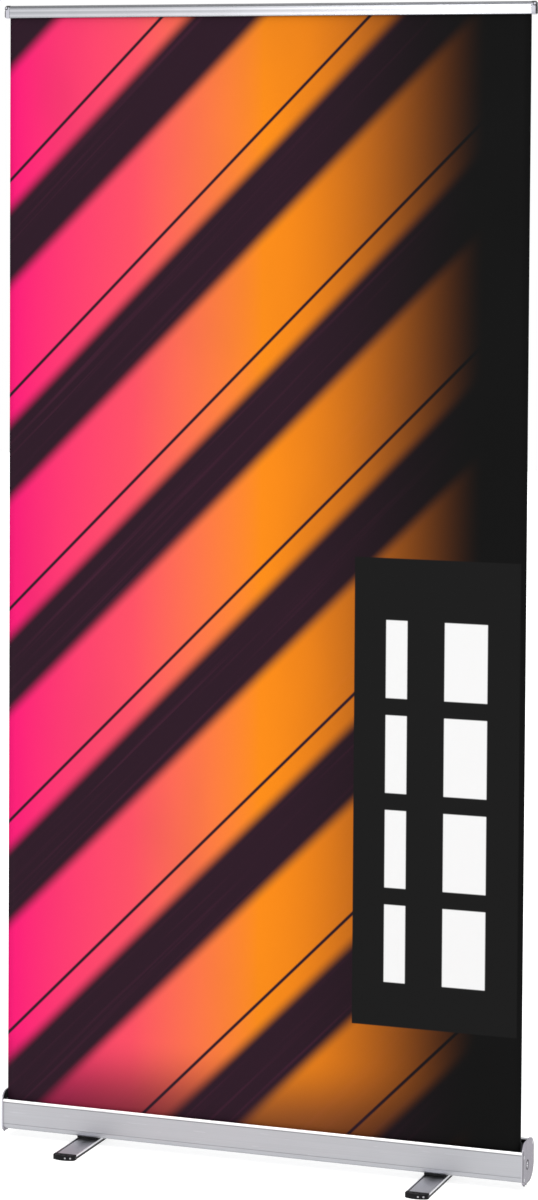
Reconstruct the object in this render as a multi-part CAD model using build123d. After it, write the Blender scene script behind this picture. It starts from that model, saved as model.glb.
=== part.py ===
from build123d import *
import math
import os

os.makedirs("parts", exist_ok=True)

# Roll-up banner stand, all sizes in mm.
# The origin is on the floor under the middle of the base, +Z up, the picture faces -Y.
# Solids that turn or slide on each other are drawn with a small named clearance.
TOUCH = 0.02
REACH = 100.0

# --- graphic ---
GRAPHIC_WIDTH = 1000.0
GRAPHIC_HEIGHT = 2025.0
SHEET_T = 0.35
SHEET_Y = -24.5
SHEET_FRONT = SHEET_Y - SHEET_T / 2
SHEET_BACK = SHEET_Y + SHEET_T / 2
LIP_Z = 72.0

# --- top rail ---
RAIL_HEIGHT = 23.0
RAIL_BOTTOM = LIP_Z + GRAPHIC_HEIGHT
RAIL_TOP = RAIL_BOTTOM + RAIL_HEIGHT
SHEET_TOP = RAIL_TOP - 16.0
BEAD_R = 2.6
CLAW_R_OUT = 5.0
CLAW_R_IN = 2.9
CLAW_OPEN_FROM = math.radians(-113)
CLAW_OPEN_TO = math.radians(60)
BEAD_Y = SHEET_Y
BEAD_Z = RAIL_TOP - CLAW_R_OUT
PLATE_T = 2.0
PLATE_GAP = 0.25
PLATE_FRONT = SHEET_BACK + PLATE_GAP
PLATE_BACK = PLATE_FRONT + PLATE_T
SKIRT_Y = -16.5
SKIRT_T = 1.6
SKIRT_RAISE = 1.5
ROOF_Z = BEAD_Z - 6.5
JAW_FRONT = BEAD_Y - CLAW_R_OUT
JAW_T = 1.6
JAW_EDGE_BACK = SHEET_Y - 2.2
JAW_EDGE_T = 2.0
JAW_CORNER_R = 1.5
JAW_CLEARANCE = 0.4
GASKET_H = 3.2
RAIL_CAP_T = 10.0
RAIL_CAP_STEP = 3.0
RAIL_CAP_PROUD = 0.6
RAIL_CAP_SPIGOT = 14.0
RAIL_CAP_EDGE_R = 2.0

# --- base ---
CAP_OUTER_X = 508.0
CAP_T = 3.5
CAP_Y = (-37.0, 34.5)
CAP_Z = (10.0, 87.0)
CAP_RADII = {"front_bottom": 13.0, "front_top": 20.0, "rear_top": 22.0, "rear_bottom": 30.0}
CAP_RIM_R = 1.2
NUB_R = 1.6
NUB_H = 1.2
NUB_YS = (-26.0, -14.0)
HOUSING_X = CAP_OUTER_X - CAP_T
HOUSING_INSET = 1.7
HOUSING_FRONT = CAP_Y[0] + HOUSING_INSET
HOUSING_BACK = CAP_Y[1] - HOUSING_INSET
HOUSING_TOP = CAP_Z[1] - HOUSING_INSET
HOUSING_BOTTOM = 14.5
WALL = 1.8
FLOOR_TOP = HOUSING_BOTTOM + WALL
LIP_R = 2.6
LIP_PROUD = 1.0
FRONT_WALL_Z = 50.0
SHOULDER_EDGE_Y = 3.0
SHOULDER_TURN = 6.0
GROOVE_ZS = (LIP_Z - 2 * LIP_R - 0.6, HOUSING_BOTTOM + 11.5)
GROOVE_W = 0.9
GROOVE_DEPTH = 0.35
PORTS = [(-31.4, 62.0), (-28.9, 20.9), (23.8, 76.3)]
PORT_R = 3.3
PORT_BORE_R = 1.5
SCREW_R = 1.47
SCREW_HEAD_R = 2.9
SCREW_HEAD_T = 1.4
SCREW_LENGTH = 14.0
SCREW_SLOT = (0.8, 4.0, 0.8)

# --- roller ---
ROLLER_R = 14.0
ROLLER_WALL = 1.2
ROLLER_BORE = ROLLER_R - ROLLER_WALL
LEADER_T = 0.6
LEADER_GAP = 0.05
LEADER_MARGIN = 6.0
ROLL_GAP = 0.3
LEADER_R = ROLLER_R + LEADER_GAP + LEADER_T
ROLLER_Y = SHEET_BACK + ROLL_GAP + LEADER_R
ROLLER_Z = 44.0
ROLLER_HALF = 499.0
PLUG_DEPTH = 22.0
PLUG_FLANGE_T = 1.5
AXLE_R = 4.0
AXLE_CLEARANCE = 0.05
AXLE_RECESS = 0.3
SPRING_SHAFT_LENGTH = 250.0
ANCHOR_LENGTH = 18.0
ANCHOR_LAP = 14.0
SPRING_R = 8.6
SPRING_WIRE_R = 0.9
SPRING_PITCH = 8.0
SPRING_MARGIN = 4.0

# --- pole ---
POLE_R = 8.0
POLE_WALL = 1.0
POLE_BORE = POLE_R - POLE_WALL
POLE_FOOT = (17.0, 28.0)
PAD_GAP = 1.6
POLE_HEAD_Y = SKIRT_Y + PAD_GAP + POLE_R
POLE_SECTION = 686.0
POLE_SECTIONS = 3
POLE_LENGTH = POLE_SECTION * POLE_SECTIONS
POLE_TILT = math.degrees(math.atan2(POLE_FOOT[0] - POLE_HEAD_Y, POLE_LENGTH))
FERRULE_HALF = 60.0
FERRULE_WALL = 1.2
FIT = 0.05
CORD_R = 2.0
CORD_HOLE_R = 2.4
KNOT_R = 3.4
KNOT_ROOM_R = 4.8
KNOT_GAP = 0.1
POLE_PLUG_H = 10.0
POLE_PLUG_FLOOR = 2.0
POLE_PLUG_SPIGOT = 18.0
HEAD_FLOOR = 3.0
HEAD_H = 9.0
HEAD_SPIGOT = 25.0
HEAD_PROUD = 0.6
TONGUE_HALF = 7.0
TONGUE_T = 3.4
TONGUE_FRONT = SKIRT_Y + 2.0
TONGUE_Z = (RAIL_BOTTOM - 8.0, RAIL_TOP - 7.0)
PAD_HALF = 5.0
PAD_Y = (SKIRT_Y + 0.35, TONGUE_FRONT - TOUCH)
PAD_Z = (RAIL_BOTTOM + 3.0, ROOF_Z - 1.0)
SOCKET_R = 9.4
SOCKET_TOP = 40.0
SOCKET_FLANGE = ((-24.0, 24.0), (1.0, 21.0))
SOCKET_FLANGE_T = 3.2
SOCKET_SCREWS = [(-17.0, 6.0), (17.0, 6.0)]
SOCKET_SCREW_R = 2.0
SOCKET_SCREW_HEAD = (3.6, 2.4)
POLE_HOLE_R = 9.3

# --- feet ---
FOOT_X = 339.0
FOOT_WIDTH = 43.5
FOOT_HALF = 142.0
FOOT_PROFILE_HALF = 126.5
FOOT_Z = (0.8, 8.8)
FOOT_WEB_Z = (5.4, 7.2)
FOOT_RIB = 2.4
FOOT_KEEL = (7.0, 1.4)
FOOT_KEEL_RAISE = 1.6
RIB_EDGE_R = 0.8
FOOT_PLUG_TOP = 9.0
FOOT_PLUG_BOW = 6.5
FOOT_PLUG_EDGE_R = 1.5
FOOT_PLUG_CORNER_R = 6.0
FOOT_PLUG_TONGUE = 16.0
DIMPLE_R = 2.2
DIMPLE_DEPTH = 0.8
DIMPLE_X = 5.0
BOLT_R = 3.0
BOLT_HEAD_R = 7.0
BOLT_HEAD_T = 2.5
BOLT_SOCKET_R = 2.3
BOLT_SOCKET_DEPTH = 1.5
BOLT_ABOVE_FLOOR = 8.4
SPACER_DISC_R = 16.0
SPACER_LIFT = 0.08
SPACER_BLOCK = ((-21.5, 21.5), (-21.5, 12.0))
SPACER_BLOCK_Z = 9.1
SPACER_CORNER_R = 3.0
PIVOT_PLATE = ((-22.0, 22.0), (-18.0, 4.2))
PIVOT_PLATE_T = 2.6
PIVOT_PLATE_CORNER_R = 4.0
NUT_R = 5.8
NUT_H = 5.0


# ------------------------------------------------------------------ drawing helpers
def bar(section, x0, x1):
    """Extrude a section drawn in the Y-Z plane from x0 to x1."""
    return extrude(Plane.YZ.offset(x0) * section, amount=x1 - x0, dir=(1, 0, 0))


def rod(y, z, radius, x0, x1):
    return bar(Pos(y, z) * Circle(radius), x0, x1)


def tube(y, z, outer, inner, x0, x1):
    return bar(Pos(y, z) * Circle(outer) - Pos(y, z) * Circle(inner), x0, x1)


def roller_rod(radius, x0, x1):
    return rod(ROLLER_Y, ROLLER_Z, radius, x0, x1)


def strip(y, z):
    """Rectangle in the Y-Z plane from two (low, high) pairs."""
    return Pos(sum(y) / 2, sum(z) / 2) * Rectangle(y[1] - y[0], z[1] - z[0])


def box(x, y, z):
    """Box from three (low, high) pairs."""
    size = [b - a for a, b in (x, y, z)]
    middle = [(a + b) / 2 for a, b in (x, y, z)]
    return Pos(*middle) * Box(*size)


def upright(radius, z0, z1, x=0.0, y=0.0):
    return Pos(x, y, (z0 + z1) / 2) * Cylinder(radius, z1 - z0)


def on_side(solid, side):
    """The solid drawn for the +X end, or its mirror image for the -X end."""
    return solid if side > 0 else mirror(solid, Plane.YZ)


def at_foot(solid, side):
    return Pos(side * FOOT_X, 0, 0) * solid


def on_pole(solid):
    """Place a solid drawn on the Z axis so that its +Z runs up the pole from the pole's foot."""
    return Pos(0, POLE_FOOT[0], POLE_FOOT[1]) * Rot(POLE_TILT, 0, 0) * solid


def rounded_section(y, z, radii):
    """Rectangle with four different corner radii."""
    (y0, y1), (z0, z1) = y, z
    corners = [
        ((y0, z0), radii["front_bottom"]),
        ((y1, z0), radii["rear_bottom"]),
        ((y1, z1), radii["rear_top"]),
        ((y0, z1), radii["front_top"]),
    ]
    section = Polygon(*[point for point, _ in corners], align=None)
    for (cy, cz), radius in corners:
        nearest = section.vertices().sort_by_distance((cy, cz, 0))[0]
        section = fillet(nearest, radius)
    return section


def housing_outline(inset=0.0):
    """Outer outline of the housing, closed over the top; inset moves it inwards."""
    radii = {name: radius - HOUSING_INSET - inset for name, radius in CAP_RADII.items()}
    y = (HOUSING_FRONT + inset, HOUSING_BACK - inset)
    z = (HOUSING_BOTTOM + inset, HOUSING_TOP - inset)
    return rounded_section(y, z, radii)


# ------------------------------------------------------------------ base
def cassette_housing():
    """Open-topped extrusion: front wall with a lip, floor, rear wall and shoulder."""
    section = housing_outline() - housing_outline(WALL)
    section -= strip((HOUSING_FRONT - REACH, SHOULDER_EDGE_Y), (LIP_Z - LIP_R, CAP_Z[1] + REACH))
    section += strip((HOUSING_FRONT, HOUSING_FRONT + WALL), (FRONT_WALL_Z, LIP_Z - LIP_R))
    section += Pos(HOUSING_FRONT - LIP_PROUD + LIP_R, LIP_Z - LIP_R) * Circle(LIP_R)
    section += strip((SHOULDER_EDGE_Y, SHOULDER_EDGE_Y + WALL), (HOUSING_TOP - SHOULDER_TURN, HOUSING_TOP))
    for y, z in PORTS:
        section += Pos(y, z) * Circle(PORT_R)
    for y, z in PORTS:
        section -= Pos(y, z) * Circle(PORT_BORE_R)
    for z in GROOVE_ZS:
        groove = (HOUSING_FRONT - GROOVE_DEPTH, HOUSING_FRONT + GROOVE_DEPTH)
        section -= strip(groove, (z - GROOVE_W / 2, z + GROOVE_W / 2))
    body = bar(section, -HOUSING_X, HOUSING_X)
    body -= on_pole(upright(POLE_HOLE_R, 0, REACH))
    for x in (-FOOT_X, FOOT_X):
        body -= upright(BOLT_R + FIT, 0, FLOOR_TOP + WALL, x)
    for x, y in SOCKET_SCREWS:
        body -= upright(SOCKET_SCREW_R + TOUCH, 0, FLOOR_TOP + WALL, x, y)
    return body


def end_cap(side):
    """Moulded end plate with a hub for the roller's shaft, screw recesses and two small nubs."""
    x0, x1 = HOUSING_X, CAP_OUTER_X
    body = bar(rounded_section(CAP_Y, CAP_Z, CAP_RADII), x0, x1)
    rim = body.faces().sort_by(Axis.X)[-1].edges()
    body = fillet(rim, CAP_RIM_R)
    hub_r, ring_r = AXLE_R + 2.5, 9.0
    ring_depth, ring_width = 0.8, 1.6
    body += roller_rod(hub_r, x0 - 3.0, x0)
    body -= tube(ROLLER_Y, ROLLER_Z, ring_r, ring_r - ring_width, x1 - ring_depth, x1 + 1)
    body -= roller_rod(AXLE_R + TOUCH, x0 - REACH, x1 + 1)
    for y, z in PORTS:
        body -= rod(y, z, SCREW_R + FIT, x0 - 1, x1 + 1)
        body -= rod(y, z, SCREW_HEAD_R + 0.2, x1 - SCREW_HEAD_T, x1 + 1)
    for y in NUB_YS:
        body += upright(NUB_R, CAP_Z[0] - NUB_H, CAP_Z[0] + 0.6, (x0 + x1) / 2, y)
    return on_side(body, side)


def end_cap_screws(side):
    """Three cross-slotted screws in the housing's ports."""
    head_x0 = CAP_OUTER_X - SCREW_HEAD_T + TOUCH
    slot_t, slot_length, slot_depth = SCREW_SLOT
    slot_x = (CAP_OUTER_X - slot_depth - 0.1, CAP_OUTER_X)
    screws = []
    for y, z in PORTS:
        head = rod(y, z, SCREW_HEAD_R, head_x0, CAP_OUTER_X - 0.1)
        shank = rod(y, z, SCREW_R, CAP_OUTER_X - SCREW_LENGTH, head_x0)
        across = ((y - slot_length / 2, y + slot_length / 2), (z - slot_t / 2, z + slot_t / 2))
        along = ((y - slot_t / 2, y + slot_t / 2), (z - slot_length / 2, z + slot_length / 2))
        cross = box(slot_x, *across) + box(slot_x, *along)
        screws.append(on_side(head + shank - cross, side))
    return Compound(children=screws)


# ------------------------------------------------------------------ roller
def roller_tube():
    return tube(ROLLER_Y, ROLLER_Z, ROLLER_R, ROLLER_BORE, -ROLLER_HALF, ROLLER_HALF)


def roller_plug(side):
    """Moulded end plug: a spigot in the tube and a thin flange over its end."""
    inner_x = ROLLER_HALF - PLUG_DEPTH
    flange_x = ROLLER_HALF + PLUG_FLANGE_T
    body = roller_rod(ROLLER_BORE - TOUCH, inner_x, ROLLER_HALF + TOUCH)
    body += roller_rod(ROLLER_R, ROLLER_HALF + TOUCH, flange_x)
    body -= roller_rod(AXLE_R + AXLE_CLEARANCE, inner_x - 1, flange_x + 1)
    return on_side(body, side)


def idle_axle():
    return roller_rod(AXLE_R, -CAP_OUTER_X + AXLE_RECESS, -ROLLER_HALF + PLUG_DEPTH)


def spring_shaft():
    """Fixed steel shaft on the right, its outer end slotted for a winding tool."""
    shaft = roller_rod(AXLE_R, ROLLER_HALF - SPRING_SHAFT_LENGTH, CAP_OUTER_X - AXLE_RECESS)
    slot_half, slot_depth = 0.6, 2.0
    across = (ROLLER_Y - AXLE_R - 1, ROLLER_Y + AXLE_R + 1)
    up = (ROLLER_Z - slot_half, ROLLER_Z + slot_half)
    return shaft - box((CAP_OUTER_X - slot_depth, CAP_OUTER_X), across, up)


def spring_anchor():
    """Moulded plug that turns with the tube and holds the spring's inner end."""
    x1 = ROLLER_HALF - SPRING_SHAFT_LENGTH + ANCHOR_LAP
    body = roller_rod(ROLLER_BORE - TOUCH, x1 - ANCHOR_LENGTH, x1)
    return body - roller_rod(AXLE_R + AXLE_CLEARANCE, x1 - ANCHOR_LENGTH - 1, x1 + 1)


def torsion_spring():
    x0 = ROLLER_HALF - SPRING_SHAFT_LENGTH + ANCHOR_LAP + SPRING_MARGIN
    x1 = ROLLER_HALF - PLUG_DEPTH - SPRING_MARGIN
    path = Helix(pitch=SPRING_PITCH, height=x1 - x0, radius=SPRING_R)
    start = Plane(origin=path @ 0, z_dir=path % 0)
    coil = sweep(start * Circle(SPRING_WIRE_R), path=path)
    return Pos(x0, ROLLER_Y, ROLLER_Z) * Rot(0, 90, 0) * coil


def leader_roll():
    half = ROLLER_HALF - LEADER_MARGIN
    return tube(ROLLER_Y, ROLLER_Z, LEADER_R, ROLLER_R + LEADER_GAP, -half, half)


# ------------------------------------------------------------------ graphic and top rail
def graphic_sheet():
    half = GRAPHIC_WIDTH / 2
    return box((-half, half), (SHEET_FRONT, SHEET_BACK), (ROLLER_Z, SHEET_TOP))


def rail_rear_profile():
    """Bead for the jaw, clamping plate and a downward-open groove at the back."""
    section = Pos(BEAD_Y, BEAD_Z) * Circle(BEAD_R)
    section += Polygon(
        (PLATE_FRONT, ROOF_Z),
        (PLATE_BACK, ROOF_Z),
        (BEAD_Y + 2.2, BEAD_Z),
        (BEAD_Y, BEAD_Z - 0.5),
        align=None,
    )
    section += strip((PLATE_FRONT, PLATE_BACK), (RAIL_BOTTOM, ROOF_Z))
    section += strip((PLATE_FRONT, SKIRT_Y), (ROOF_Z - SKIRT_T, ROOF_Z))
    section += strip((SKIRT_Y - SKIRT_T, SKIRT_Y), (RAIL_BOTTOM + SKIRT_RAISE, ROOF_Z))
    half = GRAPHIC_WIDTH / 2
    return bar(section, -half, half)


def rail_front_jaw():
    """Claw round the bead, front face and grip edge."""
    section = Pos(BEAD_Y, BEAD_Z) * (Circle(CLAW_R_OUT) - Circle(CLAW_R_IN))
    reach = 3 * CLAW_R_OUT
    steps = [CLAW_OPEN_FROM + (CLAW_OPEN_TO - CLAW_OPEN_FROM) * k / 4 for k in range(5)]
    wedge = [(BEAD_Y + reach * math.cos(a), BEAD_Z + reach * math.sin(a)) for a in steps]
    section -= Polygon((BEAD_Y, BEAD_Z), *wedge, align=None)
    section += strip((JAW_FRONT, JAW_FRONT + JAW_T), (RAIL_BOTTOM, BEAD_Z))
    section += strip((JAW_FRONT, JAW_EDGE_BACK), (RAIL_BOTTOM, RAIL_BOTTOM + JAW_EDGE_T))
    corner = section.vertices().sort_by_distance((JAW_FRONT, RAIL_BOTTOM, 0))[0]
    section = fillet(corner, JAW_CORNER_R)
    half = GRAPHIC_WIDTH / 2 - JAW_CLEARANCE
    return bar(section, -half, half)


def jaw_gasket():
    """Soft strip on the jaw's grip edge that presses the graphic on the plate."""
    half = GRAPHIC_WIDTH / 2 - JAW_CLEARANCE - 2
    y = (JAW_EDGE_BACK + TOUCH, SHEET_FRONT - 0.1)
    return box((-half, half), y, (RAIL_BOTTOM + 0.2, RAIL_BOTTOM + 0.2 + GASKET_H))


def rail_end_cap(side):
    """Moulded cap: plate over the profile's end, boss over the hinge bead, spigot in the groove."""
    x0 = GRAPHIC_WIDTH / 2
    x1 = x0 + RAIL_CAP_T
    step_x = x1 - RAIL_CAP_STEP
    y0, y1 = JAW_FRONT - RAIL_CAP_PROUD, SKIRT_Y + RAIL_CAP_PROUD
    z0, z1 = RAIL_BOTTOM - 0.5, BEAD_Z
    middle_y, middle_z = (y0 + y1) / 2, (z0 + z1) / 2
    lobe = Pos(middle_y, middle_z) * RectangleRounded(y1 - y0, z1 - z0, 4.2)
    boss = Pos(BEAD_Y, BEAD_Z) * Circle(CLAW_R_OUT + 0.4)
    body = bar(lobe + boss, x0, step_x)
    raised = Pos(middle_y, middle_z - 1) * RectangleRounded(y1 - y0 - 2.4, z1 - z0 - 4, 3.4)
    body += bar(raised, step_x, x1)
    body += rod(BEAD_Y, BEAD_Z, CLAW_R_OUT - 0.8, step_x, x1)
    body = fillet(body.faces().sort_by(Axis.X)[-1].edges(), RAIL_CAP_EDGE_R)
    groove = (PLATE_BACK + 0.1, SKIRT_Y - SKIRT_T - 0.1)
    body += box((x0 - RAIL_CAP_SPIGOT, x0), groove, (RAIL_BOTTOM + 3, ROOF_Z - SKIRT_T - 0.1))
    return on_side(body, side)


# ------------------------------------------------------------------ pole
def pole_tube(index):
    """One of the tubes, counted from the bottom; the lowest starts above the foot plug."""
    s0 = index * POLE_SECTION + 0.1 if index else POLE_PLUG_H + 0.1
    s1 = (index + 1) * POLE_SECTION
    return on_pole(upright(POLE_R, s0, s1) - upright(POLE_BORE, s0 - 1, s1 + 1))


def ferrule(index):
    """Sleeve fixed in the top of one tube, with the next tube slid over it."""
    s = (index + 1) * POLE_SECTION
    outer = POLE_BORE - FIT
    sleeve = upright(outer, s - FERRULE_HALF, s + FERRULE_HALF)
    sleeve -= upright(outer - FERRULE_WALL, s - FERRULE_HALF - 1, s + FERRULE_HALF + 1)
    return on_pole(sleeve)


def pole_foot_plug():
    """Plug with a round foot; the cord is knotted in the recess under it."""
    plug = upright(POLE_R, 0.0, POLE_PLUG_H)
    plug += upright(POLE_BORE - FIT, POLE_PLUG_H - 1.0, POLE_PLUG_H + POLE_PLUG_SPIGOT)
    plug -= upright(CORD_HOLE_R, -1.0, POLE_PLUG_H + POLE_PLUG_SPIGOT + 1.0)
    plug -= upright(KNOT_ROOM_R, -1.0, POLE_PLUG_H - POLE_PLUG_FLOOR)
    return on_pole(plug)


def pole_head():
    """Moulded head: spigot in the tube, body, and a flat tongue behind the rail."""
    s = POLE_LENGTH
    head = upright(POLE_BORE - FIT, s - HEAD_SPIGOT, s + 1.0)
    head += upright(POLE_R + HEAD_PROUD, s, s + HEAD_H)
    head -= upright(CORD_HOLE_R, s - HEAD_SPIGOT - 1.0, s + HEAD_H + 1.0)
    head -= upright(KNOT_ROOM_R, s + HEAD_FLOOR, s + HEAD_H + 1.0)
    head = on_pole(head)
    tongue = box((-TONGUE_HALF, TONGUE_HALF), (TONGUE_FRONT, TONGUE_FRONT + TONGUE_T), TONGUE_Z)
    tongue = fillet(tongue.edges().filter_by(Axis.Y).group_by(Axis.Z)[-1], 4.0)
    tongue -= on_pole(upright(KNOT_ROOM_R + 0.4, s - HEAD_SPIGOT, s + HEAD_H + FIT))
    in_front = box((-REACH, REACH), (TONGUE_FRONT - REACH, TONGUE_FRONT), (RAIL_BOTTOM - REACH, RAIL_TOP))
    return head + tongue - in_front


def grip_pad():
    return box((-PAD_HALF, PAD_HALF), PAD_Y, PAD_Z)


def elastic_cord():
    """Cord knotted under the floor of the foot plug and over the floor of the head."""
    s0 = POLE_PLUG_H - POLE_PLUG_FLOOR - KNOT_R - KNOT_GAP
    s1 = POLE_LENGTH + HEAD_FLOOR + KNOT_R + KNOT_GAP
    cord = upright(CORD_R, s0, s1)
    for s in (s0, s1):
        cord += Pos(0, 0, s) * Sphere(KNOT_R)
    return on_pole(cord)


def pole_socket():
    """Moulded socket, shaped to the housing's floor and rear wall."""
    room = bar(housing_outline(WALL + 0.2), -REACH, REACH)
    body = on_pole(upright(SOCKET_R, -30.0, SOCKET_TOP))
    body += box(*SOCKET_FLANGE, (HOUSING_BOTTOM, FLOOR_TOP + SOCKET_FLANGE_T))
    body &= room & box((-REACH, REACH), (-REACH, REACH), (FLOOR_TOP, REACH))
    body -= on_pole(upright(POLE_R + 0.08, -0.1, SOCKET_TOP + 5))
    for x, y in SOCKET_SCREWS:
        body -= upright(SOCKET_SCREW_R + TOUCH, 0, SOCKET_TOP, x, y)
    return body


def pole_socket_screws():
    top = FLOOR_TOP + SOCKET_FLANGE_T
    head_r, head_t = SOCKET_SCREW_HEAD
    slot_half_length, slot_half, slot_depth = 2.6, 0.45, 1.0
    screws = []
    for x, y in SOCKET_SCREWS:
        head = upright(head_r, top + TOUCH, top + head_t, x, y)
        shank = upright(SOCKET_SCREW_R, HOUSING_BOTTOM + 0.4, top + 0.1, x, y)
        slot_x = (x - slot_half_length, x + slot_half_length)
        slot_y = (y - slot_half, y + slot_half)
        slot = box(slot_x, slot_y, (top + head_t - slot_depth, top + head_t + 1))
        screws.append(head + shank - slot)
    return Compound(children=screws)


# ------------------------------------------------------------------ feet
def foot_profile(side):
    """Flat extrusion with a raised rib along each edge and two keels under the web."""
    half = FOOT_WIDTH / 2
    along = (-FOOT_PROFILE_HALF, FOOT_PROFILE_HALF)
    keel_in, keel_t = FOOT_KEEL
    body = box((-half, half), along, FOOT_WEB_Z)
    for s in (-1, 1):
        rib = box(sorted((s * half, s * (half - FOOT_RIB))), along, FOOT_Z)
        body += fillet(rib.edges().filter_by(Axis.Y).group_by(Axis.Z)[-1], RIB_EDGE_R)
        keel_x = sorted((s * (half - keel_in), s * (half - keel_in - keel_t)))
        body += box(keel_x, along, (FOOT_Z[0] + FOOT_KEEL_RAISE, FOOT_WEB_Z[0]))
    body -= upright(BOLT_R + FIT, -1, FOOT_Z[1] + 1)
    return at_foot(body, side)


def foot_plug(side, end):
    """End plug with a bowed front, two moulded dimples and a tongue under the web."""
    half = FOOT_WIDTH / 2
    y0, y1 = FOOT_PROFILE_HALF + TOUCH, FOOT_HALF
    corner_y = y1 - FOOT_PLUG_BOW
    outline = make_face([
        Line((-half, y0), (half, y0)),
        Line((half, y0), (half, corner_y)),
        ThreePointArc((half, corner_y), (0, y1), (-half, corner_y)),
        Line((-half, corner_y), (-half, y0)),
    ])
    body = extrude(outline, amount=FOOT_PLUG_TOP)
    front_corners = body.edges().filter_by(Axis.Z).sort_by(Axis.Y)[-2:]
    body = fillet(front_corners, FOOT_PLUG_CORNER_R)
    top_edges = body.faces().sort_by(Axis.Z)[-1].edges()
    bowed_edge = top_edges.sort_by(Axis.Y)[-1]
    body = fillet(bowed_edge, FOOT_PLUG_EDGE_R)
    keel_room = half - FOOT_KEEL[0] - FOOT_KEEL[1] - 0.8
    tongue_z = (FOOT_Z[0] + 0.4, FOOT_WEB_Z[0] - 0.1)
    body += box((-keel_room, keel_room), (y0 - FOOT_PLUG_TONGUE, y0 + 1), tongue_z)
    for x in (-DIMPLE_X, DIMPLE_X):
        body -= upright(DIMPLE_R, FOOT_PLUG_TOP - DIMPLE_DEPTH, FOOT_PLUG_TOP + 1, x, y1 - 7.0)
    if end < 0:
        body = mirror(body, Plane.XZ)
    return at_foot(body, side)


def pivot_spacer(side):
    """Moulded block under the housing with a disc that turns in the foot's recess."""
    block = box(*SPACER_BLOCK, (SPACER_BLOCK_Z, HOUSING_BOTTOM - TOUCH))
    block = fillet(block.edges().filter_by(Axis.Z), SPACER_CORNER_R)
    block += upright(SPACER_DISC_R, FOOT_WEB_Z[1] + SPACER_LIFT, SPACER_BLOCK_Z + 0.5)
    return at_foot(block - upright(BOLT_R + FIT, 0, FLOOR_TOP), side)


def pivot_bolt(side):
    """Flat-headed bolt up through the foot and the housing's floor."""
    head_top = FOOT_WEB_Z[0] - SPACER_LIFT
    head_bottom = head_top - BOLT_HEAD_T
    bolt = upright(BOLT_HEAD_R, head_bottom, head_top)
    bolt -= extrude(Pos(0, 0, head_bottom) * RegularPolygon(BOLT_SOCKET_R, 6), amount=BOLT_SOCKET_DEPTH)
    bolt += upright(BOLT_R, head_top - 0.4, FLOOR_TOP + BOLT_ABOVE_FLOOR)
    return at_foot(bolt, side)


def pivot_plate(side):
    plate = box(*PIVOT_PLATE, (FLOOR_TOP + TOUCH, FLOOR_TOP + PIVOT_PLATE_T))
    plate = fillet(plate.edges().filter_by(Axis.Z), PIVOT_PLATE_CORNER_R)
    return at_foot(plate - upright(BOLT_R + FIT, 0, REACH), side)


def pivot_nut(side):
    z0 = FLOOR_TOP + PIVOT_PLATE_T + TOUCH
    nut = extrude(Pos(0, 0, z0) * RegularPolygon(NUT_R, 6), amount=NUT_H)
    return at_foot(nut - upright(BOLT_R + TOUCH, 0, REACH), side)


# ------------------------------------------------------------------ build
SIDES = {"left": -1, "right": 1}
parts = {
    "cassette_housing": cassette_housing(),
    "roller_tube": roller_tube(),
    "idle_axle": idle_axle(),
    "spring_shaft": spring_shaft(),
    "spring_anchor": spring_anchor(),
    "torsion_spring": torsion_spring(),
    "leader_roll": leader_roll(),
    "graphic_sheet": graphic_sheet(),
    "rail_rear_profile": rail_rear_profile(),
    "rail_front_jaw": rail_front_jaw(),
    "jaw_gasket": jaw_gasket(),
    "pole_bottom_tube": pole_tube(0),
    "pole_middle_tube": pole_tube(1),
    "pole_top_tube": pole_tube(2),
    "pole_lower_ferrule": ferrule(0),
    "pole_upper_ferrule": ferrule(1),
    "pole_foot_plug": pole_foot_plug(),
    "pole_head": pole_head(),
    "pole_head_grip_pad": grip_pad(),
    "pole_elastic_cord": elastic_cord(),
    "pole_socket": pole_socket(),
    "pole_socket_screws": pole_socket_screws(),
}
for word, side in SIDES.items():
    parts[f"end_cap_{word}"] = end_cap(side)
    parts[f"end_cap_screws_{word}"] = end_cap_screws(side)
    parts[f"roller_end_plug_{word}"] = roller_plug(side)
    parts[f"rail_end_cap_{word}"] = rail_end_cap(side)
    parts[f"foot_profile_{word}"] = foot_profile(side)
    parts[f"foot_plug_{word}_front"] = foot_plug(side, -1)
    parts[f"foot_plug_{word}_rear"] = foot_plug(side, 1)
    parts[f"foot_pivot_spacer_{word}"] = pivot_spacer(side)
    parts[f"foot_pivot_bolt_{word}"] = pivot_bolt(side)
    parts[f"foot_pivot_plate_{word}"] = pivot_plate(side)
    parts[f"foot_pivot_nut_{word}"] = pivot_nut(side)

for node, solid in parts.items():
    export_step(solid, f"parts/{node}.step")
    bounds = solid.bounding_box()
    print(node, len(solid.solids()), [round(v, 1) for v in (*bounds.min, *bounds.max)])
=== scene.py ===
import math

import bpy
import numpy as np
from mathutils import Matrix, Vector


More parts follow.
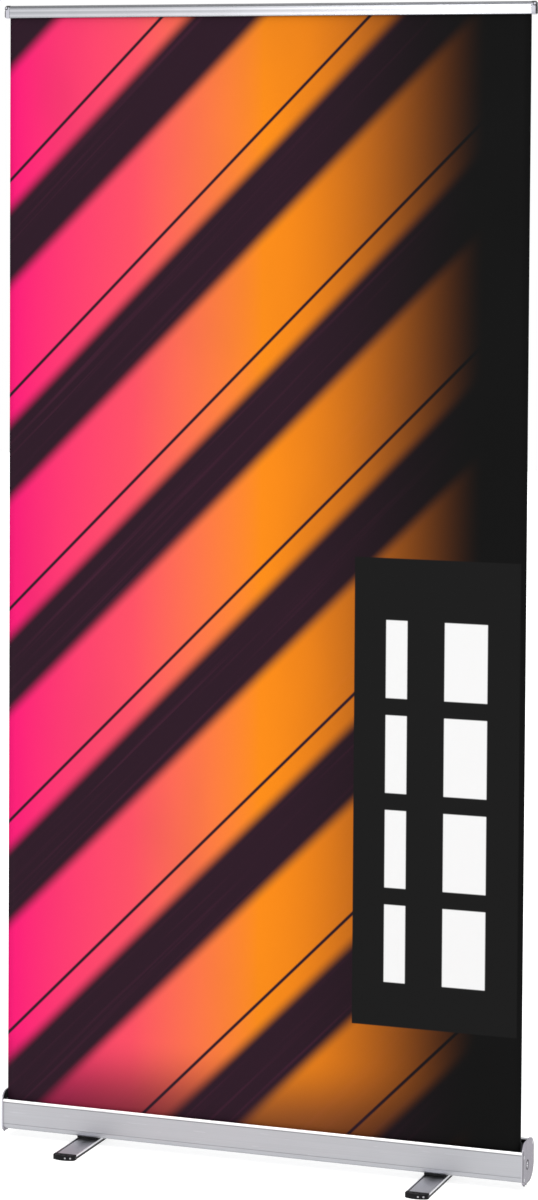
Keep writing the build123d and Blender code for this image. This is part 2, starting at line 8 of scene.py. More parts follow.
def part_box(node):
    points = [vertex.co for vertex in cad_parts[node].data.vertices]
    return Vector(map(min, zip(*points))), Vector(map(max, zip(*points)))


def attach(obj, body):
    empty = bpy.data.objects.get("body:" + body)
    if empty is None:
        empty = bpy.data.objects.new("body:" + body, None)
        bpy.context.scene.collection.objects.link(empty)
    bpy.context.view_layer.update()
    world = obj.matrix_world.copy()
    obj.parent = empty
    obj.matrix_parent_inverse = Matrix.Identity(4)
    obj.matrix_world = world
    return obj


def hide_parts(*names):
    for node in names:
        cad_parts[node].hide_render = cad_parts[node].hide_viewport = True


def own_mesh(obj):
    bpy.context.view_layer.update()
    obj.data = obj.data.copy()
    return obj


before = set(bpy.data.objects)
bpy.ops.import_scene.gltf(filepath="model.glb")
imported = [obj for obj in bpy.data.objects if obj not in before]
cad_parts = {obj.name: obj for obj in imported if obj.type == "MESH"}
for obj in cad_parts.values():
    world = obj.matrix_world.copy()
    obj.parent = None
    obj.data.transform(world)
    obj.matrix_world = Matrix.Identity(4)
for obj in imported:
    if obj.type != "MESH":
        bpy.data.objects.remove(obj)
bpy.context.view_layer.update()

# ---------------------------------------------------------------- sizes, metres
FILM_WIDTH = 0.9994  # 0.3 mm clear of the rail's end caps at each edge
FILM_HALF_T = 0.000175
LIP_Z = 0.072
CURL_TOP = 1.700
PICTURE_TOP = 2.097
PICTURE_HEIGHT = PICTURE_TOP - LIP_Z
FILM_COLUMNS = 60
FILM_ROWS = 160
CURL_DEPTH = 0.0012
CURL_WIDTH = 0.05

FLOOR_HALF = 14.0
FLOOR_GLOW = 0.70
WORLD_STRENGTH = 1.0
SUN_STRENGTH = 1.6
SUN_SPREAD = math.radians(30)
SUN_TILT = (math.radians(16), math.radians(4), 0)
FRONT_LIGHT_AT = (-0.55, -5.2, 2.5)
FRONT_LIGHT_TARGET = (0.4, 0, 2.1)
FRONT_LIGHT_SIZE = (0.9, 1.2)
FRONT_LIGHT_POWER = 36.0

CAMERA_AT = (2.1566, -6.0431, 1.8440)
CAMERA_YAW = math.radians(19.608)
CAMERA_PITCH = math.radians(2.866)
CAMERA_ROLL = math.radians(0.345)
CAMERA_LENS = 105.865
CAMERA_SHIFT_Y = -0.2223
CAMERA_SENSOR = 36.0
CAMERA_REACH = 60.0


# ---------------------------------------------------------------- node helpers
class Graph:
    """Short names for building a material's node tree."""

    def __init__(self, tree):
        self.tree = tree

    def node(self, kind, inputs=None, **attributes):
        made = self.tree.nodes.new(kind)
        for name, value in attributes.items():
            setattr(made, name, value)
        for name, value in (inputs or {}).items():
            self.put(made.inputs[name], value)
        return made

    def put(self, socket, value):
        if isinstance(value, bpy.types.NodeSocket):
            self.tree.links.new(value, socket)
        else:
            socket.default_value = value

    def math(self, operation, *values):
        made = self.node("ShaderNodeMath", operation=operation)
        for socket, value in zip(made.inputs, values):
            self.put(socket, value)
        return made.outputs[0]

    def step(self, value, low, high, to_low=0.0, to_high=1.0):
        """Smooth step of value from low to high."""
        made = self.node("ShaderNodeMapRange", interpolation_type="SMOOTHSTEP")
        for socket, item in zip(made.inputs, (value, low, high, to_low, to_high)):
            self.put(socket, item)
        return made.outputs[0]

    def mix(self, share, a, b, blend="MIX"):
        made = self.node("ShaderNodeMix", data_type="RGBA", blend_type=blend)
        self.put(made.inputs[0], share)
        self.put(made.inputs[6], a)
        self.put(made.inputs[7], b)
        return made.outputs[2]

    def scaled(self, coordinates, scale):
        made = self.node("ShaderNodeMapping", {"Vector": coordinates, "Scale": scale})
        return made.outputs[0]

    def noise(self, coordinates, scale, detail=3.0, roughness=0.55):
        made = self.node(
            "ShaderNodeTexNoise",
            {"Vector": coordinates, "Scale": scale, "Detail": detail, "Roughness": roughness},
        )
        return made.outputs[0]

    def bump(self, height, strength, distance):
        made = self.node("ShaderNodeBump", {"Height": height, "Strength": strength, "Distance": distance})
        return made.outputs[0]


def linear(r, g, b):
    """Display colour, 0 to 255, as the linear colour that shaders take."""
    def one(value):
        value /= 255
        return value / 12.92 if value <= 0.04045 else ((value + 0.055) / 1.055) ** 2.4
    return (one(r), one(g), one(b), 1.0)


def scaled_colour(colour, factor, lift=0.0):
    """The same colour, lighter or darker."""
    return [min(1.0, channel * factor + lift) for channel in colour[:3]] + [1.0]


def material(name, **fixed):
    """New material with a Principled shader; fixed values are set on the shader itself."""
    made = bpy.data.materials.new(name)
    made.use_nodes = True
    graph = Graph(made.node_tree)
    shader = made.node_tree.nodes["Principled BSDF"]
    for socket, value in fixed.items():
        shader.inputs[socket.replace("_", " ")].default_value = value
    return made, graph, shader


def object_coordinates(graph):
    return graph.node("ShaderNodeTexCoord").outputs["Object"]


# ---------------------------------------------------------------- metals
def aluminium(name, colour, axis, roughness=0.34, paint=()):
    """Clear anodised extrusion: fine die lines along one axis, soft smudges, a few scratches.

    paint is pairs of a mask function and the colour that shows through that mask.
    """
    made, g, shader = material(name, Metallic=1.0, Anisotropic=0.35)
    place = object_coordinates(g)
    line_scale = [900.0, 900.0, 900.0]
    line_scale["XYZ".index(axis)] = 3.0
    scratch_scale = [260.0, 260.0, 260.0]
    scratch_scale["XYZ".index(axis)] = 22.0
    lines = g.noise(g.scaled(place, line_scale), 1.0, 2.0)
    smudge = g.noise(place, 14.0, 4.0)
    scratch = g.noise(g.scaled(place, scratch_scale), 1.0, 1.0)
    scratched = g.step(scratch, 0.70, 0.74)
    shade = g.mix(g.step(lines, 0.3, 0.7), scaled_colour(colour, 0.94), colour)
    smudged = g.math("MULTIPLY", g.step(smudge, 0.45, 0.75), 0.10)
    shade = g.mix(smudged, shade, scaled_colour(colour, 0.82))
    shade = g.mix(g.math("MULTIPLY", scratched, 0.35), shade, scaled_colour(colour, 1.25))
    for mask, through in paint:
        shade = g.mix(mask(g, place), shade, through)
    g.put(shader.inputs["Base Color"], shade)
    rough = g.math("ADD", roughness - 0.05, g.math("MULTIPLY", smudge, 0.10))
    g.put(shader.inputs["Roughness"], g.math("ADD", rough, g.math("MULTIPLY", lines, 0.06)))
    relief = g.math("SUBTRACT", lines, g.math("MULTIPLY", scratched, 0.6))
    g.put(shader.inputs["Normal"], g.bump(relief, 0.10, 0.00008))
    return made


def steel(name, colour, roughness, grain):
    """Turned or plated steel: fine cloudy grain with darker handling marks."""
    made, g, shader = material(name, Metallic=1.0)
    place = object_coordinates(g)
    cloud = g.noise(place, 60.0, 4.0)
    fine = g.noise(place, grain, 2.0)
    shade = g.mix(g.step(cloud, 0.4, 0.7), colour, scaled_colour(colour, 0.72))
    g.put(shader.inputs["Base Color"], shade)
    g.put(shader.inputs["Roughness"], g.step(cloud, 0.2, 0.8, roughness - 0.08, roughness + 0.10))
    g.put(shader.inputs["Normal"], g.bump(fine, 0.12, 0.0001))
    return made


# ---------------------------------------------------------------- plastics and rubber
def plastic(name, colour, roughness, grain=1400.0, relief=0.12, specular=0.5, paint=()):
    """Moulded plastic with a fine eroded texture, faint flow marks and handling shine.

    paint is pairs of a mask function and the colour that shows through that mask.
    """
    made, g, shader = material(name)
    shader.inputs["Specular IOR Level"].default_value = specular
    place = object_coordinates(g)
    pores = g.noise(place, grain, 2.0)
    flow = g.noise(g.scaled(place, (9.0, 30.0, 18.0)), 1.0, 3.0)
    dust = g.noise(place, 220.0, 3.0)
    shade = g.mix(g.step(flow, 0.3, 0.7), colour, scaled_colour(colour, 1.22, 0.004))
    shade = g.mix(g.math("MULTIPLY", g.step(dust, 0.62, 0.78), 0.06), shade, (0.55, 0.54, 0.52, 1))
    for mask, through in paint:
        shade = g.mix(mask(g, place), shade, through)
    g.put(shader.inputs["Base Color"], shade)
    g.put(shader.inputs["Roughness"], g.step(flow, 0.2, 0.8, roughness - 0.06, roughness + 0.08))
    g.put(shader.inputs["Normal"], g.bump(pores, relief, 0.00015))
    return made


def braid(name, colour, fleck):
    """Braided textile cover of an elastic cord."""
    made, g, shader = material(name, Roughness=0.85)
    shader.inputs["Sheen Weight"].default_value = 0.3
    place = object_coordinates(g)
    one = g.node("ShaderNodeTexWave", {"Vector": g.scaled(place, (260, 260, 200)), "Scale": 1.0},
                 wave_type="BANDS", bands_direction="DIAGONAL").outputs[1]
    two = g.node("ShaderNodeTexWave", {"Vector": g.scaled(place, (-260, 260, 200)), "Scale": 1.0},
                 wave_type="BANDS", bands_direction="DIAGONAL").outputs[1]
    weave = g.math("MAXIMUM", one, two)
    speck = g.step(g.noise(place, 500.0), 0.6, 0.7)
    shade = g.mix(weave, scaled_colour(colour, 0.4), colour)
    g.put(shader.inputs["Base Color"], g.mix(g.math("MULTIPLY", speck, weave), shade, fleck))
    g.put(shader.inputs["Normal"], g.bump(weave, 0.5, 0.0004))
    return made


def film_back(name, colour):
    """Grey light-stopping back of the printed film, and the plain leader: faint roll lines."""
    made, g, shader = material(name)
    shader.inputs["Specular IOR Level"].default_value = 0.35
    place = object_coordinates(g)
    cloud = g.noise(g.scaled(place, (2.0, 2.0, 0.8)), 2.0, 4.0)
    lines = g.noise(g.scaled(place, (1.5, 1.5, 240.0)), 1.0, 2.0)
    grain = g.noise(place, 1800.0, 2.0)
    shade = g.mix(g.step(cloud, 0.35, 0.7), colour, scaled_colour(colour, 0.93))
    rolled = g.math("MULTIPLY", g.step(lines, 0.55, 0.8), 0.10)
    shade = g.mix(rolled, shade, scaled_colour(colour, 0.85))
    g.put(shader.inputs["Base Color"], shade)
    g.put(shader.inputs["Roughness"], g.step(cloud, 0.2, 0.8, 0.42, 0.55))
    g.put(shader.inputs["Normal"], g.bump(grain, 0.08, 0.00006))
    return made


# ---------------------------------------------------------------- masks in object coordinates, metres
# The marks below are painted by the materials. They aren't in the meshes. Most of them are painted shade
# or painted highlights.
CRISP = 0.0002
EDGE = 0.00025
FINE = 0.0003
SOFT = 0.0004
SOFTER = 0.0006

FOOT_X = 0.339
FOOT_HALF_WIDTH = 0.02175
FOOT_RIB = 0.0024
FOOT_LINE = 0.0014
FOOT_SIDE_TOP_Z = 0.0052
PIPS_ACROSS = (0.005, 0.0145)
PIP_Z = 0.0046
PIP_R = 0.0017
PLUG_FROM_Y = 0.130

LIP_HIGHLIGHT_Z = 0.0672
LIP_HIGHLIGHT_Y = -0.0300
HOUSING_FRONT_Y = -0.0340
UNDER_LIP_Z = (0.0652, 0.0668)
LOW_LINE_Z = (0.0252, 0.0266)
SHOULDER_STRIP_Y = (0.0020, 0.0056)
SHOULDER_Z = 0.0780

HUB = (-0.009375, 0.044)
HUB_RING_R = (0.0070, 0.0092)
CAP_INSIDE_X = 0.5048
CAP_INSIDE_Z = 0.0700
CAP_FACE_X = 0.5062
CAP_RIM_HIGHLIGHT_Y = -0.0345
CAP_FRONT_RIM_Y = -0.0352
CAP_REAR_RIM_Y = 0.0318
CAP_LOW_RIM_Z = 0.0122

RAIL_STREAKS_Z = ((2.1090, 2.1120), (2.1000, 2.1036))
RAIL_STREAK_SOFT = 0.0008
RAIL_TOP_BAND_Z = 2.1148
RAIL_TOP_SOFT = 0.0012
RAIL_SEAM_Z = (2.1062, 2.1076)
RAIL_GRIP_Z = 2.0984
RAIL_CAP_PLATE_X = 0.5076
RAIL_CAP_TOP_Z = 2.1168
RAIL_CAP_TOP_SOFT = 0.0005
RAIL_PIN = (0.5062, 2.1157)
RAIL_PIN_R = 0.0021
RAIL_PIN_RING_R = 0.0038


def axes(g, place):
    return g.node("ShaderNodeSeparateXYZ", {"Vector": place}).outputs


def over(g, value, limit, soft=EDGE):
    return g.step(value, limit - soft, limit + soft)


def under(g, value, limit, soft=EDGE):
    return g.step(value, limit + soft, limit - soft)


def between(g, value, low, high, soft=EDGE):
    return g.math("MULTIPLY", over(g, value, low, soft), under(g, value, high, soft))


def joined(g, *masks):
    total = masks[0]
    for mask in masks[1:]:
        total = g.math("MAXIMUM", total, mask)
    return total


def faded(g, mask, strength):
    return g.math("MULTIPLY", mask, strength)


def both(g, one, two):
    return g.math("MULTIPLY", one, two)


def radius_from(g, across, up, centre):
    one = g.math("POWER", g.math("SUBTRACT", across, centre[0]), 2.0)
    two = g.math("POWER", g.math("SUBTRACT", up, centre[1]), 2.0)
    return g.math("SQRT", g.math("ADD", one, two))


def housing_lip_highlight(g, place):
    """Painted highlight along the lip at the front top edge."""
    x, y, z = axes(g, place)
    return both(g, over(g, z, LIP_HIGHLIGHT_Z, SOFTER), under(g, y, LIP_HIGHLIGHT_Y))


def cap_rim_highlight_and_specks(g, place):
    """Painted highlight on the front rim of an end cap, and worn specks on its outer face."""
    x, y, z = axes(g, place)
    specks = g.step(g.noise(place, 700.0, 2.0), 0.58, 0.66)
    worn = both(g, specks, over(g, g.math("ABSOLUTE", x), CAP_FACE_X))
    return joined(g, faded(g, under(g, y, CAP_RIM_HIGHLIGHT_Y, SOFT), 0.9), faded(g, worn, 0.45))


def housing_painted_shade(g, place):
    """Painted only: painted shade in lines under the lip and low on the front, and on the shoulder's
    strip.
    """
    x, y, z = axes(g, place)
    front = under(g, y, HOUSING_FRONT_Y)
    under_lip = faded(g, between(g, z, *UNDER_LIP_Z, SOFT), 0.40)
    low_line = faded(g, between(g, z, *LOW_LINE_Z, SOFT), 0.25)
    strip = both(g, between(g, y, *SHOULDER_STRIP_Y), over(g, z, SHOULDER_Z))
    return joined(g, both(g, front, joined(g, under_lip, low_line)), strip)


def rail_highlight_streaks(g, place):
    """Painted only: two painted highlight streaks along the rail."""
    x, y, z = axes(g, place)
    return joined(g, *[between(g, z, *streak, RAIL_STREAK_SOFT) for streak in RAIL_STREAKS_Z])


def rail_edge_shade_and_seam(g, place):
    """Painted only: painted shade in bands along the rail's top and bottom edges, and a faint dark seam
    below the top.
    """
    x, y, z = axes(g, place)
    band = faded(g, over(g, z, RAIL_TOP_BAND_Z, RAIL_TOP_SOFT), 0.62)
    seam = faded(g, between(g, z, *RAIL_SEAM_Z, SOFTER), 0.16)
    grip = faded(g, under(g, z, RAIL_GRIP_Z, SOFTER), 0.40)
    return joined(g, band, seam, grip)


def foot_across(g, place):
    """Signed distance from the middle of whichever foot the point is on."""
    x = axes(g, place)[0]
    side = g.math("SIGN", x)
    return g.math("SUBTRACT", x, g.math("MULTIPLY", side, FOOT_X))


def foot_recess(g, place):
    """Blasted floor between a foot's two ribs, with a fine speckle."""
    off = g.math("ABSOLUTE", foot_across(g, place))
    speckle = g.step(g.noise(place, 900.0, 2.0), 0.35, 0.65, 0.65, 1.0)
    return both(g, under(g, off, FOOT_HALF_WIDTH - FOOT_RIB), speckle)


def foot_painted_shade(g, place):
    """Painted only: painted shade on the lower sides, and in lines at the inner foot of the ribs."""
    off = g.math("ABSOLUTE", foot_across(g, place))
    z = axes(g, place)[2]
    inner = FOOT_HALF_WIDTH - FOOT_RIB
    line = faded(g, between(g, off, inner - FOOT_LINE, inner, CRISP), 0.95)
    side = both(g, over(g, off, FOOT_HALF_WIDTH - FINE, CRISP), under(g, z, FOOT_SIDE_TOP_Z))
    return joined(g, side, line)


def plug_pips(g, place):
    """Two light pips painted on the front face of a foot's end plug; they aren't in its mesh."""
    across = foot_across(g, place)
    x, y, z = axes(g, place)
    pips = [under(g, radius_from(g, across, z, (at, PIP_Z)), PIP_R, FINE) for at in PIPS_ACROSS]
    return both(g, joined(g, *pips), over(g, g.math("ABSOLUTE", y), PLUG_FROM_Y))


def end_cap_painted_shade(g, place):
    """Painted shade on the inside of an end cap above the lip; and, painted only, painted shade on its
    rims and in the ring round its hub.
    """
    x, y, z = axes(g, place)
    inside = both(g, under(g, g.math("ABSOLUTE", x), CAP_INSIDE_X), over(g, z, CAP_INSIDE_Z))
    ring = between(g, radius_from(g, y, z, HUB), *HUB_RING_R, FINE)
    face = over(g, g.math("ABSOLUTE", x), CAP_FACE_X)
    rear = over(g, y, CAP_REAR_RIM_Y, SOFT)
    foot = under(g, z, CAP_LOW_RIM_Z, SOFT)
    front = both(g, under(g, y, CAP_FRONT_RIM_Y, FINE), over(g, x, 0.0))
    rim = faded(g, both(g, face, joined(g, rear, foot, front)), 0.7)
    return joined(g, inside, ring, rim)


def rail_cap_painted_shade(g, place):
    """Painted only: painted shade on the outer plate and top of a rail end cap, and in a ring round a
    light pin.
    """
    x, y, z = axes(g, place)
    plate = over(g, g.math("ABSOLUTE", x), RAIL_CAP_PLATE_X)
    dark = joined(g, plate, over(g, z, RAIL_CAP_TOP_Z, RAIL_CAP_TOP_SOFT))
    from_pin = radius_from(g, g.math("ABSOLUTE", x), z, RAIL_PIN)
    ring = between(g, from_pin, RAIL_PIN_R, RAIL_PIN_RING_R, FINE)
    return joined(g, both(g, dark, over(g, from_pin, RAIL_PIN_R)), ring)


# ---------------------------------------------------------------- printed picture
# A pattern of its own: straight stripes of light at one slant and one pitch over a wash of pink, coral
# and orange that fades to black, with a dark panel and blank bars where a banner carries its words.
# Places across and up are shares of the picture's width and height.
INK_GAIN = 0.71
STRIPE_SLANT = math.radians(45)
STRIPE_PITCH = 0.40
STRIPE_LIGHT = 0.64
STRIPE_SOFT = 0.05
THIN_LINE = (0.30, 0.32)
THIN_LINE_SOFT = 0.006
FADE = (0.50, 0.92)
LOW_SHADE_UP = 0.07
LOW_SHADE_LIGHT = 0.3
FIBRES_A_PITCH = 30.0
FIBRE_STRENGTH = 0.35
WASH_STOPS = [(0.0, (250, 20, 120)), (0.25, (250, 80, 100)), (0.5, (250, 140, 20)), (1.0, (230, 120, 0))]
STRIPE_SHADE = linear(45, 25, 38)
FAR_SHADE = linear(15, 15, 15)
FIBRE_SHADE = linear(90, 40, 65)
PANEL_SHADE = linear(25, 25, 25)
BAR_WHITE = linear(245, 245, 245)
PANEL_ACROSS = (0.68, 0.99)
PANEL_UP = (0.10, 0.52)
BAR_COLUMNS = [(0.74, 0.78), (0.85, 0.93)]
BAR_COUNT = 4
BARS_UP = (0.14, 0.48)
BAR_FILL = 0.82


def box_mask(g, across, up, across_range, up_range, soft=0.0012):
    return both(g, between(g, across, *across_range, soft), between(g, up, *up_range, soft / 2))


def colour_ramp(g, share, stops):
    made = g.node("ShaderNodeValToRGB", {"Fac": share})
    ramp = made.color_ramp
    while len(ramp.elements) < len(stops):
        ramp.elements.new(0.5)
    for element, (at, colour) in zip(ramp.elements, stops):
        element.position = at
        element.color = linear(*colour)
    return made.outputs[0]


def slanted(g, across, up):
    """Height above the slanting line through the picture's lower left corner, in stripe pitches."""
    height = g.math("MULTIPLY", up, PICTURE_HEIGHT)
    rise = g.math("MULTIPLY", across, FILM_WIDTH * math.tan(STRIPE_SLANT))
    return g.math("DIVIDE", g.math("SUBTRACT", height, rise), STRIPE_PITCH)


def stripes_of_light(g, across, up):
    """1 inside a stripe and 0 between stripes, faded to the right and towards the foot."""
    phase = g.math("FRACT", slanted(g, across, up))
    off_middle = g.math("ABSOLUTE", g.math("SUBTRACT", phase, 0.5))
    stripe = under(g, off_middle, STRIPE_LIGHT / 2, STRIPE_SOFT)
    beside_line = g.math("SUBTRACT", 1.0, between(g, phase, *THIN_LINE, THIN_LINE_SOFT))
    low_shade = g.step(up, 0.0, LOW_SHADE_UP, LOW_SHADE_LIGHT, 1.0)
    fade = both(g, g.step(across, FADE[1], FADE[0]), low_shade)
    return both(g, both(g, stripe, beside_line), fade)


def shade_between_stripes(g, across, up):
    """Nearly black, a little purple to the left, with faint fibres along the stripes."""
    over_fibres = g.math("MULTIPLY", slanted(g, across, up), FIBRES_A_PITCH)
    along_fibres = g.math("MULTIPLY", across, 2.0)
    fibre_at = g.node("ShaderNodeCombineXYZ", {"X": over_fibres, "Y": along_fibres})
    fibre = g.step(g.noise(fibre_at.outputs[0], 1.0, 3.0), 0.5, 0.8, 0.0, FIBRE_STRENGTH)
    near = g.mix(fibre, STRIPE_SHADE, FIBRE_SHADE)
    return g.mix(g.step(across, *FADE), near, FAR_SHADE)


def blank_bars(g, across, up):
    """Columns of equal bars at even spacing."""
    pitch = (BARS_UP[1] - BARS_UP[0]) / BAR_COUNT
    starts = [BARS_UP[0] + pitch * index for index in range(BAR_COUNT)]
    boxes = [
        box_mask(g, across, up, column, (low, low + pitch * BAR_FILL))
        for column in BAR_COLUMNS
        for low in starts
    ]
    return joined(g, *boxes)


def printed_picture():
    made, g, shader = material("printed_picture")
    shader.inputs["Specular IOR Level"].default_value = 0.04
    uv = g.node("ShaderNodeUVMap", uv_map="picture").outputs[0]
    split = g.node("ShaderNodeSeparateXYZ", {"Vector": uv})
    across, up = split.outputs[0], split.outputs[1]

    drift = g.noise(g.node("ShaderNodeCombineXYZ", {"X": across, "Y": up}).outputs[0], 3.1, 3.0)
    light = g.math("MULTIPLY", stripes_of_light(g, across, up), g.step(drift, 0.85, 0.45, 0.85, 1.0))
    wash = colour_ramp(g, across, WASH_STOPS)
    picture = g.mix(light, shade_between_stripes(g, across, up), wash)
    picture = g.mix(box_mask(g, across, up, PANEL_ACROSS, PANEL_UP), picture, PANEL_SHADE)
    picture = g.mix(blank_bars(g, across, up), picture, BAR_WHITE)
    picture = g.mix(1.0, picture, (INK_GAIN, INK_GAIN, INK_GAIN, 1), "MULTIPLY")
    g.put(shader.inputs["Base Color"], picture)

    place = object_coordinates(g)
    cloud = g.noise(place, 5.0, 4.0)
    grain = g.noise(place, 1600.0, 2.0)
    g.put(shader.inputs["Roughness"], g.step(cloud, 0.2, 0.8, 0.46, 0.58))
    g.put(shader.inputs["Normal"], g.bump(grain, 0.05, 0.00005))
    return made


# ---------------------------------------------------------------- the sheet
def film_mesh():
    """Two-sided sheet: almost flat, its side edges a little curled back between lip and rail."""
    low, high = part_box("graphic_sheet")
    middle_y = (low.y + high.y) / 2
    columns, rows = FILM_COLUMNS, FILM_ROWS
    us = np.linspace(0, 1, columns + 1)
    vs = np.linspace(0, 1, rows + 1)
    verts, faces, sides = [], [], []
    for back in (False, True):
        for v in vs:
            z = low.z + (high.z - low.z) * v
            held = min(max((z - LIP_Z) / (CURL_TOP - LIP_Z), 0), 1)
            for u in us:
                x = -FILM_WIDTH / 2 + FILM_WIDTH * u
                edge = max(0.0, 1 - (FILM_WIDTH / 2 - abs(x)) / CURL_WIDTH)
                y = middle_y + CURL_DEPTH * edge ** 2 * math.sin(math.pi * held)
                y += FILM_HALF_T if back else -FILM_HALF_T
                verts.append((x, y, z))
    layer = (columns + 1) * (rows + 1)

    def at(column, row, back):
        return row * (columns + 1) + column + (layer if back else 0)

    for row in range(rows):
        for column in range(columns):
            a, b = at(column, row, 0), at(column + 1, row, 0)
            c, d = at(column + 1, row + 1, 0), at(column, row + 1, 0)
            faces.append((a, b, c, d))
            sides.append(0)
            faces.append((d + layer, c + layer, b + layer, a + layer))
            sides.append(1)
    for row in range(rows):
        for column, flip in ((0, False), (columns, True)):
            quad = (at(column, row, 0), at(column, row + 1, 0), at(column, row + 1, 1), at(column, row, 1))
            faces.append(quad if not flip else quad[::-1])
            sides.append(1)
    for column in range(columns):
        for row, flip in ((0, True), (rows, False)):
            quad = (at(column, row, 0), at(column + 1, row, 0), at(column + 1, row, 1), at(column, row, 1))
            faces.append(quad if not flip else quad[::-1])
            sides.append(1)
    mesh = bpy.data.meshes.new("graphic_film")
    mesh.from_pydata(verts, [], faces)
    layer_uv = mesh.uv_layers.new(name="picture")
    for polygon in mesh.polygons:
        polygon.material_index = sides[polygon.index]
        polygon.use_smooth = True
        for loop in polygon.loop_indices:
            x, _, z = mesh.vertices[mesh.loops[loop].vertex_index].co
            layer_uv.data[loop].uv = (x / FILM_WIDTH + 0.5, (z - LIP_Z) / PICTURE_HEIGHT)
    mesh.update()
    return mesh


def add_film():
    film = bpy.data.objects.new("graphic_film", film_mesh())
    bpy.context.collection.objects.link(film)
    film.data.materials.append(printed_picture())
    film.data.materials.append(film_back("film_back", linear(196, 198, 202)))
    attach(film, "base")
    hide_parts("graphic_sheet")
    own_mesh(film)


# ---------------------------------------------------------------- materials on the CAD nodes
def finishes():
    # Near-black colour of the painted shade on the housing, the feet and the end caps.
    painted_shade_black = (0.008, 0.008, 0.009, 1)
    tube = aluminium("anodised_along_x", (0.56, 0.57, 0.60, 1), "X")
    # The housing's paint: a painted highlight along the lip, and painted shade in lines on the front and
    # on the shoulder.
    housing = aluminium("anodised_housing", (0.43, 0.435, 0.46, 1), "X", roughness=0.42,
                        paint=[(housing_lip_highlight, (0.95, 0.95, 0.95, 1)),
                               (housing_painted_shade, painted_shade_black)])
    # The foot's paint: a blasted recess, and painted shade on its lower sides and along the inner foot of
    # the ribs.
    foot = aluminium("anodised_foot", (0.72, 0.72, 0.75, 1), "Y", roughness=0.40,
                     paint=[(foot_recess, (0.54, 0.54, 0.58, 1)), (foot_painted_shade, painted_shade_black)])
    pole = aluminium("anodised_along_z", (0.60, 0.61, 0.63, 1), "Z", roughness=0.30)
    # The rail's paint: painted highlight streaks, and painted shade along its top and bottom edges with a
    # faint dark seam.
    rail = aluminium("anodised_rail", (0.40, 0.405, 0.43, 1), "X", roughness=0.26,
                     paint=[(rail_highlight_streaks, (0.50, 0.50, 0.53, 1)),
                            (rail_edge_shade_and_seam, (0.07, 0.07, 0.075, 1))])
    # The end caps' paint: a painted highlight on the front rim with worn specks, and painted shade inside
    # above the lip, on the rims and in the hub ring.
    grey = plastic("grey_moulding", linear(122, 119, 127), 0.50, grain=900.0, relief=0.30,
                   specular=0.3, paint=[(cap_rim_highlight_and_specks, linear(176, 174, 182)), (end_cap_painted_shade, painted_shade_black)])
    # The rail end caps' paint: painted shade on the outer plate and top, and in a ring round the pin.
    pale = plastic("pale_moulding", linear(160, 160, 168), 0.28, relief=0.05,
                   paint=[(rail_cap_painted_shade, (0.012, 0.012, 0.013, 1))])
    black = plastic("black_moulding", (0.005, 0.005, 0.006, 1), 0.45, specular=0.15)
    foot_end = plastic("foot_end_moulding", (0.004, 0.004, 0.005, 1), 0.5, specular=0.1,
                       paint=[(plug_pips, (0.30, 0.30, 0.31, 1))])
    white = plastic("white_moulding", linear(225, 225, 220), 0.45)
    zinc = steel("zinc_plated_steel", (0.62, 0.63, 0.66, 1), 0.30, 900.0)
    wire = steel("oiled_spring_wire", (0.22, 0.21, 0.20, 1), 0.34, 1500.0)
    rubber = plastic("rubber", (0.018, 0.018, 0.018, 1), 0.78, grain=700.0, relief=0.25, specular=0.3)
    return {
        "cassette_housing": housing,
        "rail_rear_profile": rail,
        "rail_front_jaw": rail,
        "foot_profile_": foot,
        "pole_bottom_tube": pole,
        "pole_middle_tube": pole,
        "pole_top_tube": pole,
        "roller_tube": tube,
        "end_cap_screws_": zinc,
        "end_cap_": grey,
        "rail_end_cap_": pale,
        "foot_plug_": foot_end,
        "foot_pivot_spacer_": black,
        "foot_pivot_": zinc,
        "pole_foot_plug": black,
        "pole_head_grip_pad": rubber,
        "pole_head": black,
        "pole_socket_screws": zinc,
        "pole_socket": black,
        "pole_lower_ferrule": zinc,
        "pole_upper_ferrule": zinc,
        "pole_elastic_cord": braid("elastic_cord_cover", (0.05, 0.05, 0.055, 1), (0.6, 0.6, 0.6, 1)),
        "roller_end_plug_": white,
        "spring_anchor": white,
        "idle_axle": zinc,
        "spring_shaft": zinc,
        "torsion_spring": wire,
        "leader_roll": film_back("leader_film", linear(205, 207, 210)),
        "jaw_gasket": rubber,
    }


def dress(table):
    for name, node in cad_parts.items():
        if name == "graphic_sheet":
            continue
        key = next(k for k in table if name.startswith(k))
        node.data.materials.clear()
        node.data.materials.append(table[key])


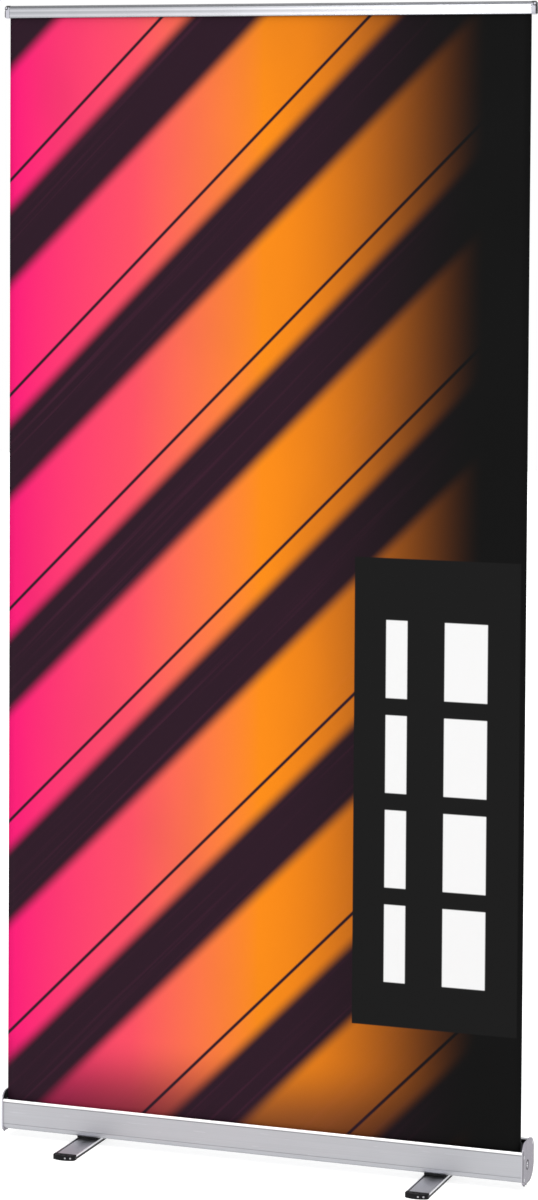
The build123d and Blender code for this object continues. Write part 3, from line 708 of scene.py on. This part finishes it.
# ---------------------------------------------------------------- room, light, camera
def add_floor():
    half = FLOOR_HALF
    corners = [(-half, -half, 0), (half, -half, 0), (half, half, 0), (-half, half, 0)]
    mesh = bpy.data.meshes.new("studio_floor")
    mesh.from_pydata(corners, [], [(0, 1, 2, 3)])
    floor = bpy.data.objects.new("studio_floor", mesh)
    bpy.context.collection.objects.link(floor)
    made, g, shader = material("studio_floor", Roughness=0.9)
    cloud = g.noise(object_coordinates(g), 0.7, 2.0)
    g.put(shader.inputs["Base Color"], g.mix(cloud, (0.46, 0.46, 0.46, 1), (0.50, 0.50, 0.50, 1)))
    shader.inputs["Emission Color"].default_value = (1, 1, 1, 1)
    shader.inputs["Emission Strength"].default_value = FLOOR_GLOW
    mesh.materials.append(made)


def add_light(name, at, target, size, power):
    lamp = bpy.data.lights.new(name, "AREA")
    lamp.shape = "RECTANGLE"
    lamp.size, lamp.size_y = size
    lamp.energy = power
    made = bpy.data.objects.new(name, lamp)
    bpy.context.collection.objects.link(made)
    made.location = at
    made.rotation_euler = (Vector(target) - Vector(at)).to_track_quat("-Z", "Y").to_euler()


def add_sun():
    """Soft light from nearly overhead: it keeps the floor white and lights the top edges."""
    lamp = bpy.data.lights.new("overhead", "SUN")
    lamp.energy = SUN_STRENGTH
    lamp.angle = SUN_SPREAD
    made = bpy.data.objects.new("overhead", lamp)
    bpy.context.collection.objects.link(made)
    made.rotation_euler = SUN_TILT


def add_world():
    world = bpy.data.worlds.new("studio")
    world.use_nodes = True
    background = world.node_tree.nodes["Background"]
    background.inputs["Color"].default_value = (1.0, 1.0, 1.0, 1)
    background.inputs["Strength"].default_value = WORLD_STRENGTH
    bpy.context.scene.world = world


def add_camera():
    lens = bpy.data.cameras.new("camera")
    lens.sensor_width = CAMERA_SENSOR
    lens.lens = CAMERA_LENS
    lens.shift_y = CAMERA_SHIFT_Y
    lens.clip_end = CAMERA_REACH
    camera = bpy.data.objects.new("camera", lens)
    bpy.context.collection.objects.link(camera)
    turn = Matrix.Rotation(CAMERA_YAW, 4, "Z")
    tilt = Matrix.Rotation(math.pi / 2 - CAMERA_PITCH, 4, "X")
    roll = Matrix.Rotation(CAMERA_ROLL, 4, "Z")
    camera.matrix_world = Matrix.Translation(CAMERA_AT) @ turn @ tilt @ roll
    bpy.context.scene.camera = camera


def main():
    add_camera()
    add_world()
    add_floor()
    add_sun()
    add_light("front", FRONT_LIGHT_AT, FRONT_LIGHT_TARGET, FRONT_LIGHT_SIZE, FRONT_LIGHT_POWER)
    dress(finishes())
    add_film()
    bpy.context.scene.view_settings.view_transform = "Standard"


main()
